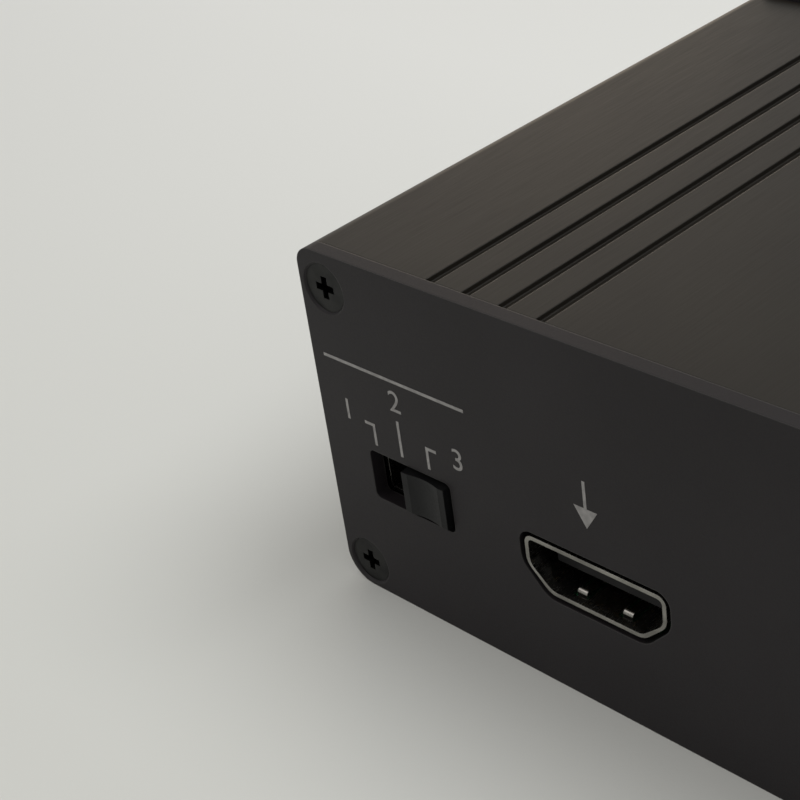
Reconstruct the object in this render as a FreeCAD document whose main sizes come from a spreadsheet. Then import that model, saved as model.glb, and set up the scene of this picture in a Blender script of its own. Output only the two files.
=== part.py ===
"""Small video audio extractor box: black aluminium case, circuit board, ports and a path switch.

The origin is the centre of the housing's underside. +X is to the right as the front panel is read,
the front panel faces -Y, and +Z is up. Lengths are millimetres.
"""
import FreeCAD, Part
import math
import os
import re
import Sketcher

SIZES = [
    # case
    ("case_width", 88),
    ("case_height", 36.2),
    ("case_depth", 68.5),
    ("case_upper_corner_radius", 1.8),
    ("case_lower_corner_radius", 3),
    ("wall_thickness", 1.8),
    ("front_panel_thickness", 1.5),
    ("rear_panel_thickness", 1.8),
    ("rear_panel_rise", 0.6),
    ("rear_panel_corner_radius", 4),
    # grooves along the housing's top, one set near each side
    ("groove_count", 4),
    ("groove_spacing", 4),
    ("groove_width", 1),
    ("groove_depth", 0.5),
    ("groove_inset", 15.1),
    # panel screws and the channels they go into
    ("screw_inset_side", 3),
    ("screw_inset_top", 3.6),
    ("screw_inset_bottom", 2.8),
    ("screw_head_radius", 2.35),
    ("screw_head_sink", 0.2),
    ("screw_shank_radius", 1.2),
    ("screw_length", 8),
    ("screw_hole_clearance", 0.12),
    ("screw_thread_clearance", 0.05),
    ("cross_recess_width", 0.7),
    ("cross_recess_span", 2.2),
    ("cross_recess_depth", 0.8),
    ("channel_wall", 1.3),
    # circuit board and the slots that hold it
    ("board_top", 9.6),
    ("board_thickness", 1.6),
    ("board_side_clearance", 0.3),
    ("board_end_clearance", 0.2),
    ("slot_clearance", 0.2),
    ("slot_rail_thickness", 1.2),
    ("slot_rail_reach", 1.8),
    ("lead_hole_clearance", 0.1),
    ("lead_length_below", 1.2),
    ("lead_width", 0.5),
    # shared clearances
    ("close_fit", 0.05),
    ("running_fit", 0.15),
    ("cut_margin", 1),
    # path switch
    ("switch_from_left", 10.7),
    ("switch_axis_above_board", 4.55),
    ("switch_window_width", 10.1),
    ("switch_window_height", 5.3),
    ("switch_window_radius", 0.6),
    ("knob_width", 5.2),
    ("knob_height", 4.3),
    ("knob_proud", 0.5),
    ("knob_hollow_depth", 0.25),
    ("knob_hollow_radius", 7),
    ("switch_travel", 4),
    ("switch_frame_width", 14),
    ("switch_frame_depth", 5.4),
    ("switch_frame_wall", 0.35),
    ("switch_frame_gap", 0.3),
    ("switch_frame_leg_width", 1.5),
    ("switch_base_thickness", 1.1),
    ("carriage_flange", 0.9),
    ("carriage_thickness", 1.5),
    ("wiper_thickness", 0.25),
    ("wiper_height", 1.2),
    ("terminal_row_offset", 1.5),
    ("terminal_width", 0.6),
    ("terminal_thickness", 0.3),
    ("terminal_reach", 1.2),
    # video ports, the input in front and the output behind
    ("input_port_from_left", 31.6),
    ("output_port_from_centre", 14),
    ("port_width", 15),
    ("port_height", 5.4),
    ("port_floor_width", 10),
    ("port_side_height", 3),
    ("port_depth", 11),
    ("port_shell_wall", 0.4),
    ("port_corner_radius", 0.9),
    ("port_bend_radius", 1.8),
    ("port_above_board", 0.2),
    ("port_recess", 0.1),
    ("port_window_gap", 0.5),
    ("finger_width", 1),
    ("finger_offset", 2.45),
    ("finger_start", 0.8),
    ("finger_length", 5.4),
    ("finger_slot_gap", 0.3),
    ("finger_bump_radius", 0.45),
    ("tongue_width", 11.2),
    ("tongue_thickness", 1),
    ("tongue_recess", 1.9),
    ("port_block_depth", 3),
    ("upper_contact_count", 10),
    ("lower_contact_count", 9),
    ("contact_spacing", 1),
    ("contact_width", 0.35),
    ("contact_thickness", 0.15),
    ("contact_recess", 0.5),
    ("contact_foot_length", 1.2),
    ("port_leg_width", 1.6),
    ("port_leg_setback", 3),
    # optical audio port
    ("optical_from_centre", -2),
    ("optical_width", 9.8),
    ("optical_height", 11),
    ("optical_depth", 14.2),
    ("optical_window_gap", 0.2),
    ("optical_recess", 0.2),
    ("optical_mouth", 8.4),
    ("optical_floor", 0.9),
    ("optical_cavity_depth", 11.2),
    ("optical_lip", 1),
    ("shutter_thickness", 0.8),
    ("hinge_pin_radius", 0.4),
    ("shutter_barrel_wall", 0.35),
    ("shutter_spring_wire", 0.2),
    ("shutter_spring_width", 0.8),
    ("shutter_spring_leg", 3),
    ("emitter_width", 5),
    ("emitter_height", 5),
    ("emitter_depth", 2.4),
    ("emitter_lens_radius", 1.1),
    ("emitter_lead_spacing", 1.27),
    # pair of analogue audio sockets
    ("audio_pair_from_left", 19),
    ("audio_socket_spacing", 14),
    ("audio_block_side", 6.2),
    ("audio_block_height", 14),
    ("audio_block_depth", 10),
    ("audio_axis_above_board", 8.4),
    ("sleeve_radius", 4.15),
    ("sleeve_wall", 0.55),
    ("sleeve_length", 9),
    ("sleeve_flange_radius", 5.4),
    ("sleeve_flange_thickness", 0.8),
    ("sleeve_window_gap", 0.25),
    ("insert_recess", 0.6),
    ("centre_contact_radius", 2),
    ("centre_contact_bore", 1.65),
    ("centre_contact_recess", 0.8),
    ("ground_tail_width", 1),
    # power inlet
    ("power_from_right", 11),
    ("power_body_width", 9),
    ("power_body_height", 10.6),
    ("power_body_depth", 13),
    ("power_axis_above_board", 6),
    ("power_nose_radius", 3.95),
    ("power_bore_radius", 3.15),
    ("power_bore_depth", 9.5),
    ("power_pin_radius", 1),
    ("power_pin_recess", 0.8),
    ("power_window_gap", 0.2),
    ("power_contact_width", 2),
    ("power_leaf_thickness", 0.3),
    ("power_leaf_drop", 0.4),
    ("power_leaf_length", 5.4),
    # power lamp
    ("lamp_from_right", 12),
    ("lamp_above_board", 4.55),
    ("lamp_radius", 1.5),
    ("lamp_proud", 0.6),
    ("lamp_hole_gap", 0.1),
    ("lamp_flange_radius", 1.9),
    ("lamp_flange_thickness", 1),
    ("lamp_lead_spacing", 2.54),
    ("lamp_lead_bend", 2),
    # electronics
    ("chip_standoff", 0.1),
    ("chip_pin_reach", 1),
    ("video_chip_size", 14),
    ("audio_chip_size", 10),
    ("large_chip_height", 1.4),
    ("large_chip_spacing", 0.8),
    ("video_chip_pins_per_side", 16),
    ("audio_chip_pins_per_side", 11),
    ("small_chip_length", 5),
    ("small_chip_width", 4),
    ("small_chip_height", 1.5),
    ("small_chip_spacing", 1.27),
    ("small_chip_pins_per_side", 4),
    ("converter_chip_length", 10),
    ("converter_chip_pins_per_side", 7),
    ("inductor_size", 6),
    ("inductor_height", 3),
    ("regulator_length", 6.5),
    ("regulator_width", 3.5),
    ("regulator_height", 1.6),
    ("regulator_spacing", 2.3),
    ("regulator_tab_width", 3),
    ("regulator_tab_reach", 1.5),
    ("capacitor_radius", 3.1),
    ("capacitor_height", 5.6),
    ("capacitor_base_size", 6.6),
    ("capacitor_base_height", 1),
    ("crystal_length", 11),
    ("crystal_width", 4.4),
    ("crystal_height", 3.4),
    ("small_part_length", 1.6),
    ("small_part_width", 0.8),
    ("small_part_spacing", 3.2),
    ("ceramic_height", 0.8),
    ("resistor_height", 0.5),
    ("diode_length", 4.4),
    ("diode_width", 2.6),
    ("diode_height", 2.2),
    ("fuse_length", 3.2),
    ("header_from_middle", 12),
    ("header_from_board_front", 7.5),
    ("header_spacing", 2.54),
    ("header_pins", 4),
    ("header_base_height", 2.5),
    ("header_pin_height", 8.5),
    ("header_pin_width", 0.6),
]

# Where the centre of each board part stands. X counts inwards from the left or right side, or to the
# right from the middle. Y counts rearwards from the middle.
PLACES = {
    "video_chip": ("middle", -9.5, -3),
    "audio_chip": ("middle", 9.5, 1),
    "memory_left": ("left", 17, -10),
    "memory_right": ("middle", 8, -15),
    "converter_chip": ("left", 15, 6),
    "inductor": ("right", 19, -3),
    "regulator_near": ("right", 9, -5),
    "regulator_far": ("right", 9, 4),
    "capacitor_middle": ("right", 20, 9),
    "capacitor_left": ("left", 8, 13.5),
    "capacitor_rear": ("middle", -17.5, 14),
    "capacitor_front": ("right", 20, -13),
    "crystal_front": ("middle", -9.5, -15.3),
    "crystal_rear": ("middle", 5, 12.5),
    "diode": ("right", 8.5, 11),
    "fuse": ("right", 18.5, 15),
}

LEFT = "(-case_width / 2)"
RIGHT = "(case_width / 2)"
FRONT = "(-case_depth / 2)"
REAR = "(case_depth / 2)"
TUBE_FRONT = f"({FRONT} + front_panel_thickness)"
TUBE_REAR = f"({REAR} - rear_panel_thickness)"
BOARD_BOTTOM = "(board_top - board_thickness)"
BOARD_FRONT = f"({TUBE_FRONT} + board_end_clearance)"
BOARD_REAR = f"({TUBE_REAR} - board_end_clearance)"
LEAD_END = f"({BOARD_BOTTOM} - lead_length_below)"
PORT_LOW = "(board_top + port_above_board)"
INPUT_X = f"({LEFT} + input_port_from_left)"
OUTPUT_X = "output_port_from_centre"
SWITCH_X = f"({LEFT} + switch_from_left)"
SWITCH_Z = "(board_top + switch_axis_above_board)"
LAMP_X = f"({RIGHT} - lamp_from_right)"
LAMP_Z = "(board_top + lamp_above_board)"
POWER_X = f"({RIGHT} - power_from_right)"
POWER_Z = "(board_top + power_axis_above_board)"
AUDIO_X = f"({LEFT} + audio_pair_from_left)"
AUDIO_Z = "(board_top + audio_axis_above_board)"
AUDIO_XS = [f"({AUDIO_X} {side} audio_socket_spacing / 2)" for side in "-+"]
OPTICAL_X = "optical_from_centre"
SCREW_POINTS = [
    (f"{side}(case_width / 2 - screw_inset_side)", z)
    for side in ("-", "")
    for z in ("screw_inset_bottom", "(case_height - screw_inset_top)")
]

doc = FreeCAD.newDocument("AudioExtractor")
sheet = doc.addObject("Spreadsheet::Sheet", "Sizes")
rows = list(SIZES)
for name, (side, x, y) in PLACES.items():
    rows += [(f"{name}_x", x), (f"{name}_y", y)]
for row, (alias, amount) in enumerate(rows, start=1):
    sheet.set(f"A{row}", alias)
    sheet.set(f"B{row}", str(amount))
    sheet.setAlias(f"B{row}", alias)
doc.recompute()

ALIASES = {alias for alias, amount in rows}
nodes = {}
board_holes = []


def formula(text):
    """The expression with each size in it read from the sheet."""
    return re.sub(r"[a-z_]+", lambda word: f"Sizes.{word[0]}" if word[0] in ALIASES else word[0], text)


def count(alias):
    return int(sheet.get(alias))


def bind(thing, **properties):
    for name, text in properties.items():
        thing.setExpression(name, formula(text))


def place(thing, x, y, z):
    for axis, text in zip("xyz", (x, y, z)):
        thing.setExpression(f"Placement.Base.{axis}", formula(text))


def node(label, thing):
    """Marks a finished piece. Its label names its file."""
    thing.Label = label
    nodes[label] = thing


# Solids


def about(centre, half):
    """Low and high values either side of a centre."""
    return f"{centre} - ({half})", f"{centre} + ({half})"


def box(name, x, y, z):
    """A block from the low to the high value along each axis."""
    made = doc.addObject("Part::Box", name)
    for side, (low, high) in zip(("Length", "Width", "Height"), (x, y, z)):
        made.setExpression(side, formula(f"({high}) - ({low})"))
    place(made, x[0], y[0], z[0])
    return made


TURNS = {
    "x": FreeCAD.Rotation(FreeCAD.Vector(0, 1, 0), 90),
    "y": FreeCAD.Rotation(FreeCAD.Vector(1, 0, 0), -90),
    "z": FreeCAD.Rotation(),
}


def rod(name, axis, start, length, radius, end_radius=None):
    """A cylinder along an axis, or a cone where it has an end radius."""
    made = doc.addObject("Part::Cone" if end_radius else "Part::Cylinder", name)
    made.Placement = FreeCAD.Placement(FreeCAD.Vector(), TURNS[axis])
    bind(made, Height=length)
    if end_radius:
        bind(made, Radius1=radius, Radius2=end_radius)
    else:
        bind(made, Radius=radius)
    place(made, *start)
    return made


def fuse(name, parts):
    made = doc.addObject("Part::MultiFuse", name)
    made.Shapes = parts
    made.Refine = True
    return made


def cut(name, base, tools):
    made = doc.addObject("Part::Cut", name)
    made.Base = base
    made.Tool = tools[0] if len(tools) == 1 else fuse(name + "_cutters", tools)
    return made


def group(name, solids):
    """Separate solids of one node."""
    made = doc.addObject("Part::Compound", name)
    made.Links = solids
    return made


def lead(name, x, y, top):
    """A leg down through the board, which gets a hole for it."""
    wide = [(f"{low} - lead_hole_clearance", f"{high} + lead_hole_clearance") for low, high in (x, y)]
    through = (f"{BOARD_BOTTOM} - cut_margin", "board_top + cut_margin")
    board_holes.append(box("lead_hole", *wide, through))
    return box(name, x, y, (LEAD_END, top))


# Sketched bodies, all drawn in planes across Y


def sketch(body, name, y, loops):
    """A sketch at one Y. A loop is a list of corners, or a circle's centre and radius.

    Each point starts anywhere and is drawn to its place by its distances from the origin.
    """
    made = body.newObject("Sketcher::SketchObject", name)
    across = [plane for plane in body.Origin.OriginFeatures if plane.Role == "XZ_Plane"]
    made.AttachmentSupport = [(across[0], "")]
    made.MapMode = "FlatFace"
    made.setExpression("AttachmentOffset.Base.z", formula(f"-({y})"))

    def limit(constraint, text):
        index = made.addConstraint(constraint)
        made.setExpression(f"Constraints[{index}]", formula(text))

    def tie(curve, point, start, x, z):
        limit(Sketcher.Constraint("DistanceX", -1, 1, curve, point, start.x), x)
        limit(Sketcher.Constraint("DistanceY", -1, 1, curve, point, start.y), z)

    for loop in loops:
        if isinstance(loop, tuple):
            x, z, radius = loop
            start = FreeCAD.Vector(1, 1, 0)
            ring = made.addGeometry(Part.Circle(start, FreeCAD.Vector(0, 0, 1), 1))
            limit(Sketcher.Constraint("Radius", ring, 1), radius)
            tie(ring, 3, start, x, z)
            continue
        turns = [2 * math.pi * index / len(loop) for index in range(len(loop))]
        starts = [FreeCAD.Vector(math.cos(turn), math.sin(turn), 0) for turn in turns]
        ends = starts[1:] + starts[:1]
        lines = [made.addGeometry(Part.LineSegment(*pair)) for pair in zip(starts, ends)]
        for line, following in zip(lines, lines[1:] + lines[:1]):
            made.addConstraint(Sketcher.Constraint("Coincident", line, 2, following, 1))
        for line, start, (x, z) in zip(lines, starts, loop):
            tie(line, 1, start, x, z)
    return made


def rectangle(x, z):
    return [(x[0], z[0]), (x[1], z[0]), (x[1], z[1]), (x[0], z[1])]


def pad(body, profile, length):
    """Fills a sketch towards -Y."""
    made = body.newObject("PartDesign::Pad", profile.Name + "_pad")
    made.Profile = profile
    bind(made, Length=length)
    doc.recompute()
    return made


def pocket(body, profile):
    """Cuts a sketch right through towards +Y."""
    before = body.Shape.Volume
    made = body.newObject("PartDesign::Pocket", profile.Name + "_pocket")
    made.Profile = profile
    made.Type = "ThroughAll"
    doc.recompute()
    if made.Shape.Volume >= before:
        raise RuntimeError(f"{profile.Name} cuts nothing")
    return made


# How near two places count as one when an edge is picked
TOLERANCE = 0.01


def round_edges(body, base, radius, chosen):
    """Rounds the edges along Y whose middle point is chosen, given the shape's bounds."""
    bounds = base.Shape.BoundBox
    names = []
    for index, edge in enumerate(base.Shape.Edges, start=1):
        middle = edge.valueAt((edge.FirstParameter + edge.LastParameter) / 2)
        if abs(edge.tangentAt(edge.FirstParameter).y) > 0.99 and chosen(middle, bounds):
            names.append(f"Edge{index}")
    made = body.newObject("PartDesign::Fillet", base.Name + "_round")
    made.Base = (base, names)
    bind(made, Radius=radius)
    doc.recompute()
    return made


def upper_edge(point, bounds):
    return point.z > bounds.Center.z


def lowest_edge(point, bounds):
    return point.z < bounds.ZMin + TOLERANCE


def lower_edge(point, bounds):
    return point.z < bounds.Center.z


def inner_edge(point, bounds):
    across = bounds.XMin + TOLERANCE < point.x < bounds.XMax - TOLERANCE
    return across and bounds.ZMin + TOLERANCE < point.z < bounds.ZMax - TOLERANCE


def port_outline(x, grow):
    """A video port's outline: straight above, its lower corners cut off, grown outwards all round."""
    half = f"(port_width / 2 + ({grow}))"
    floor = f"(port_floor_width / 2 + ({grow}) / 2)"
    bottom = f"({PORT_LOW} - ({grow}))"
    top = f"({PORT_LOW} + port_height + ({grow}))"
    shoulder = f"({PORT_LOW} + port_height - port_side_height)"
    right_side = [(floor, bottom), (half, shoulder), (half, top)]
    left_side = [(f"-{out}", z) for out, z in reversed(right_side)]
    return [(f"{x} + ({out})", z) for out, z in right_side + left_side]


def port_block(name, x, grow, y):
    """A block with a video port's outline, its corners and bends rounded, between two values of Y."""
    low, high = y
    body = doc.addObject("PartDesign::Body", name)
    profile = sketch(body, f"{name}_outline", high, [port_outline(x, grow)])
    block = pad(body, profile, f"{high} - ({low})")
    upper = round_edges(body, block, f"port_corner_radius + ({grow})", upper_edge)
    round_edges(body, upper, f"port_bend_radius + ({grow})", lower_edge)
    return body


# Case


def housing():
    """An extruded tube with square screw channels, rails for the board and grooves on top."""
    body = doc.addObject("PartDesign::Body", "housing_body")
    outline = rectangle(about("0", "case_width / 2"), ("0", "case_height"))
    block = pad(body, sketch(body, "tube_outline", TUBE_REAR, [outline]), f"{TUBE_REAR} - {TUBE_FRONT}")
    upper = round_edges(body, block, "case_upper_corner_radius", upper_edge)
    round_edges(body, upper, "case_lower_corner_radius", lowest_edge)

    bore = "(screw_shank_radius + screw_thread_clearance)"
    inside = "(case_width / 2 - wall_thickness)"
    channel = f"(case_width / 2 - screw_inset_side - {bore} - channel_wall)"
    low_channel = f"(screw_inset_bottom + {bore} + channel_wall)"
    high_channel = f"(case_height - screw_inset_top - {bore} - channel_wall)"
    rail = f"({inside} - slot_rail_reach)"
    slot_top = "(board_top + slot_clearance)"
    right_side = [
        (channel, "wall_thickness"),
        (channel, low_channel),
        (inside, low_channel),
        (inside, f"{BOARD_BOTTOM} - slot_rail_thickness"),
        (rail, f"{BOARD_BOTTOM} - slot_rail_thickness"),
        (rail, BOARD_BOTTOM),
        (inside, BOARD_BOTTOM),
        (inside, slot_top),
        (rail, slot_top),
        (rail, f"{slot_top} + slot_rail_thickness"),
        (inside, f"{slot_top} + slot_rail_thickness"),
        (inside, high_channel),
        (channel, high_channel),
        (channel, "case_height - wall_thickness"),
    ]
    left_side = [(f"-{x}", z) for x, z in reversed(right_side)]
    pocket(body, sketch(body, "tube_inside", TUBE_FRONT, [right_side + left_side]))
    pocket(body, sketch(body, "screw_bores", TUBE_FRONT, [(x, z, bore) for x, z in SCREW_POINTS]))

    grooves = []
    for side in ("-", ""):
        for index in range(count("groove_count")):
            x = f"{side}(case_width / 2 - groove_inset - {index} * groove_spacing)"
            grooves.append(rectangle(about(x, "groove_width / 2"), about("case_height", "groove_depth")))
    pocket(body, sketch(body, "top_grooves", TUBE_FRONT, grooves))
    node("housing", body)


SCREW_CLEAR = "(screw_shank_radius + screw_hole_clearance)"
HEAD_DEPTH = "(screw_head_radius - screw_shank_radius)"
SEAT_RADIUS = "(screw_head_radius + screw_head_sink)"
SEAT_DEPTH = f"({HEAD_DEPTH} + screw_head_sink)"


def front_panel():
    """A flat plate as large as the housing, with the switch, port, lamp and screw holes."""
    body = doc.addObject("PartDesign::Body", "front_panel_body")
    outline = rectangle(about("0", "case_width / 2"), ("0", "case_height"))
    plate = pad(body, sketch(body, "front_outline", TUBE_FRONT, [outline]), "front_panel_thickness")
    upper = round_edges(body, plate, "case_upper_corner_radius", upper_edge)
    round_edges(body, upper, "case_lower_corner_radius", lowest_edge)
    window = rectangle(
        about(SWITCH_X, "switch_window_width / 2"),
        about(SWITCH_Z, "switch_window_height / 2"),
    )
    window_cut = pocket(body, sketch(body, "switch_window", FRONT, [window]))
    round_edges(body, window_cut, "switch_window_radius", inner_edge)
    lamp = (LAMP_X, LAMP_Z, "lamp_radius + lamp_hole_gap")
    pocket(body, sketch(body, "lamp_window", FRONT, [lamp]))

    shank_holes = [(x, z, SCREW_CLEAR) for x, z in SCREW_POINTS]
    holes = body.newObject("PartDesign::Hole", "front_screw_holes")
    holes.Profile = sketch(body, "front_screw_points", FRONT, shank_holes)
    doc.recompute()
    holes.DepthType = "ThroughAll"
    holes.Threaded = False
    holes.HoleCutType = "Countersink"
    holes.HoleCutCustomValues = True
    holes.HoleCutCountersinkAngle = 90
    bind(holes, Diameter=f"2 * {SCREW_CLEAR}", HoleCutDiameter=f"2 * {SEAT_RADIUS}")
    port = port_block("input_window", INPUT_X, "port_window_gap",
                      (f"{FRONT} - cut_margin", f"{TUBE_FRONT} + cut_margin"))
    node("front_panel", cut("front_panel_plate", body, [port]))


def rear_panel():
    """A thicker plate that stands proud of the housing above and at the sides, level below."""
    body = doc.addObject("PartDesign::Body", "rear_panel_body")
    outline = rectangle(
        about("0", "(case_width / 2 + rear_panel_rise)"),
        ("0", "case_height + rear_panel_rise"),
    )
    plate = pad(body, sketch(body, "rear_outline", REAR, [outline]), "rear_panel_thickness")
    upper = round_edges(body, plate, "rear_panel_corner_radius", upper_edge)
    round_edges(body, upper, "case_lower_corner_radius", lowest_edge)
    windows = [
        rectangle(
            about(OPTICAL_X, "optical_width / 2 + optical_window_gap"),
            ("board_top - optical_window_gap", "board_top + optical_height + optical_window_gap"),
        ),
        (POWER_X, POWER_Z, "power_nose_radius + power_window_gap"),
    ]
    windows += [(x, AUDIO_Z, "sleeve_radius + sleeve_window_gap") for x in AUDIO_XS]
    pocket(body, sketch(body, "rear_windows", TUBE_REAR, windows))
    shank_holes = [(x, z, SCREW_CLEAR) for x, z in SCREW_POINTS]
    pocket(body, sketch(body, "rear_screw_holes", TUBE_REAR, shank_holes))
    seats = [
        rod("rear_screw_seat", "y", (x, f"{REAR} - {SEAT_DEPTH}", z), SEAT_DEPTH,
            "screw_shank_radius", SEAT_RADIUS)
        for x, z in SCREW_POINTS
    ]
    port = port_block("output_window", OUTPUT_X, "port_window_gap",
                      (f"{TUBE_REAR} - cut_margin", f"{REAR} + cut_margin"))
    node("rear_panel", cut("rear_panel_plate", body, seats + [port]))


def panel_screw(x, z, face, rearward):
    """A countersunk screw with a cross recess. The face is its head's, and rearward says where it looks."""
    radii = ("screw_head_radius", "screw_shank_radius")
    head_start = face
    shank_start = f"{face} + {HEAD_DEPTH}"
    if rearward:
        radii = ("screw_shank_radius", "screw_head_radius")
        head_start = f"{face} - {HEAD_DEPTH}"
        shank_start = f"{face} - screw_length"
    head = rod("screw_head", "y", (x, head_start, z), HEAD_DEPTH, *radii)
    shank_length = f"screw_length - {HEAD_DEPTH}"
    shank = rod("screw_shank", "y", (x, shank_start, z), shank_length, "screw_shank_radius")
    long_side = "cross_recess_span / 2"
    short_side = "cross_recess_width / 2"
    depth = about(face, "cross_recess_depth")
    arms = [
        box("cross_arm", about(x, long_side), depth, about(z, short_side)),
        box("cross_arm", about(x, short_side), depth, about(z, long_side)),
    ]
    return cut("screw", fuse("screw_blank", [head, shank]), arms)


def panel_screws():
    front = [panel_screw(x, z, f"({FRONT} + screw_head_sink)", False) for x, z in SCREW_POINTS]
    rear = [panel_screw(x, z, f"({REAR} - screw_head_sink)", True) for x, z in SCREW_POINTS]
    node("front_panel_screws", group("front_screws", front))
    node("rear_panel_screws", group("rear_screws", rear))


# Path switch

KNOB_REST = f"({SWITCH_X} + switch_travel / 2)"
FRAME_FRONT = f"({TUBE_FRONT} + switch_frame_gap)"
FRAME_INSIDE = f"({FRAME_FRONT} + switch_frame_wall)"
FRAME_REAR = f"({FRAME_FRONT} + switch_frame_depth)"
CARRIAGE_FRONT = f"({FRAME_INSIDE} + running_fit)"
CARRIAGE_REAR = f"({CARRIAGE_FRONT} + carriage_thickness)"
BASE_FRONT = f"({FRAME_REAR} - switch_base_thickness)"
TERMINAL_ROWS = [(f"({SWITCH_Z} + terminal_row_offset)", 2), (f"({SWITCH_Z} - terminal_row_offset)", 1)]


def switch_frame():
    """A folded metal cover, open behind, with a slot for the knob and two legs."""
    half = "(switch_frame_width / 2)"
    outer = box("frame_outer", about(SWITCH_X, half), (FRAME_FRONT, FRAME_REAR),
                about(SWITCH_Z, "switch_axis_above_board"))
    inner = box("frame_inner", about(SWITCH_X, f"{half} - switch_frame_wall"),
                (FRAME_INSIDE, f"{FRAME_REAR} + cut_margin"),
                about(SWITCH_Z, "switch_axis_above_board - switch_frame_wall"))
    slot = box("frame_slot", about(SWITCH_X, "(knob_width + switch_travel) / 2 + running_fit"),
               (f"{FRAME_FRONT} - cut_margin", f"{FRAME_INSIDE} + cut_margin"),
               about(SWITCH_Z, "knob_height / 2 + running_fit"))
    middle = f"{FRAME_FRONT} + switch_frame_depth / 2"
    legs = []
    for side in "-+":
        x = f"{SWITCH_X} {side} ({half} - switch_frame_wall / 2)"
        legs.append(lead("frame_leg", about(x, "switch_frame_wall / 2"),
                         about(middle, "switch_frame_leg_width / 2"), SWITCH_Z))
    node("path_switch_frame", fuse("switch_frame", [cut("frame_shell", outer, [inner, slot])] + legs))


def switch_terminals():
    """An insulating base with two rows of four terminals, one step of travel apart."""
    base = box("switch_base", about(SWITCH_X, "switch_frame_width / 2 - switch_frame_wall - close_fit"),
               (BASE_FRONT, FRAME_REAR),
               about(SWITCH_Z, "switch_axis_above_board - switch_frame_wall - close_fit"))
    slits = []
    terminals = []
    for z, step in TERMINAL_ROWS:
        for index in range(4):
            x = f"({SWITCH_X} + ({index} - 1.5) * switch_travel / 2)"
            wide = about(x, "terminal_width / 2")
            slits.append(box("terminal_slit", about(x, "terminal_width / 2 + close_fit"),
                             (f"{BASE_FRONT} - cut_margin", f"{FRAME_REAR} + cut_margin"),
                             about(z, "terminal_thickness / 2 + close_fit")))
            back = f"({FRAME_REAR} + {step} * terminal_reach)"
            blade = box("terminal_blade", wide, (BASE_FRONT, back), about(z, "terminal_thickness / 2"))
            leg = lead("terminal_leg", wide, (f"{back} - terminal_thickness", back),
                       f"{z} + terminal_thickness / 2")
            terminals.append(fuse("terminal", [blade, leg]))
    node("path_switch_base", cut("switch_base_slit", base, slits))
    node("path_switch_terminals", group("switch_terminals", terminals))


def switch_knob():
    """The knob with its carriage behind the frame, and the two wipers it carries."""
    knob_front = f"({FRONT} - knob_proud)"
    stem = box("knob_stem", about(KNOB_REST, "knob_width / 2"),
               (knob_front, f"{CARRIAGE_FRONT} + carriage_thickness / 2"),
               about(SWITCH_Z, "knob_height / 2"))
    carriage = box("knob_carriage", about(KNOB_REST, "knob_width / 2 + carriage_flange"),
                   (CARRIAGE_FRONT, CARRIAGE_REAR), about(SWITCH_Z, "knob_height / 2 + carriage_flange"))
    hollow_y = f"{knob_front} + knob_hollow_depth - knob_hollow_radius"
    hollow = rod("knob_hollow", "z", (KNOB_REST, hollow_y, f"{SWITCH_Z} - knob_height"),
                 "2 * knob_height", "knob_hollow_radius")
    node("path_switch_knob", cut("switch_knob", fuse("knob_whole", [stem, carriage]), [hollow]))
    wipers = []
    for z, step in TERMINAL_ROWS:
        tall = about(z, "wiper_height / 2")
        strip = box("wiper_strip", about(KNOB_REST, "switch_travel / 4 + terminal_width / 2"),
                    (CARRIAGE_REAR, f"{CARRIAGE_REAR} + wiper_thickness"), tall)
        prongs = [
            box("wiper_prong", about(f"{KNOB_REST} {side} switch_travel / 4", "terminal_width / 2"),
                (CARRIAGE_REAR, f"{BASE_FRONT} - close_fit"), tall)
            for side in "-+"
        ]
        wipers.append(fuse("wiper", [strip] + prongs))
    node("path_switch_wipers", group("switch_wipers", wipers))


# Video ports


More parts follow.
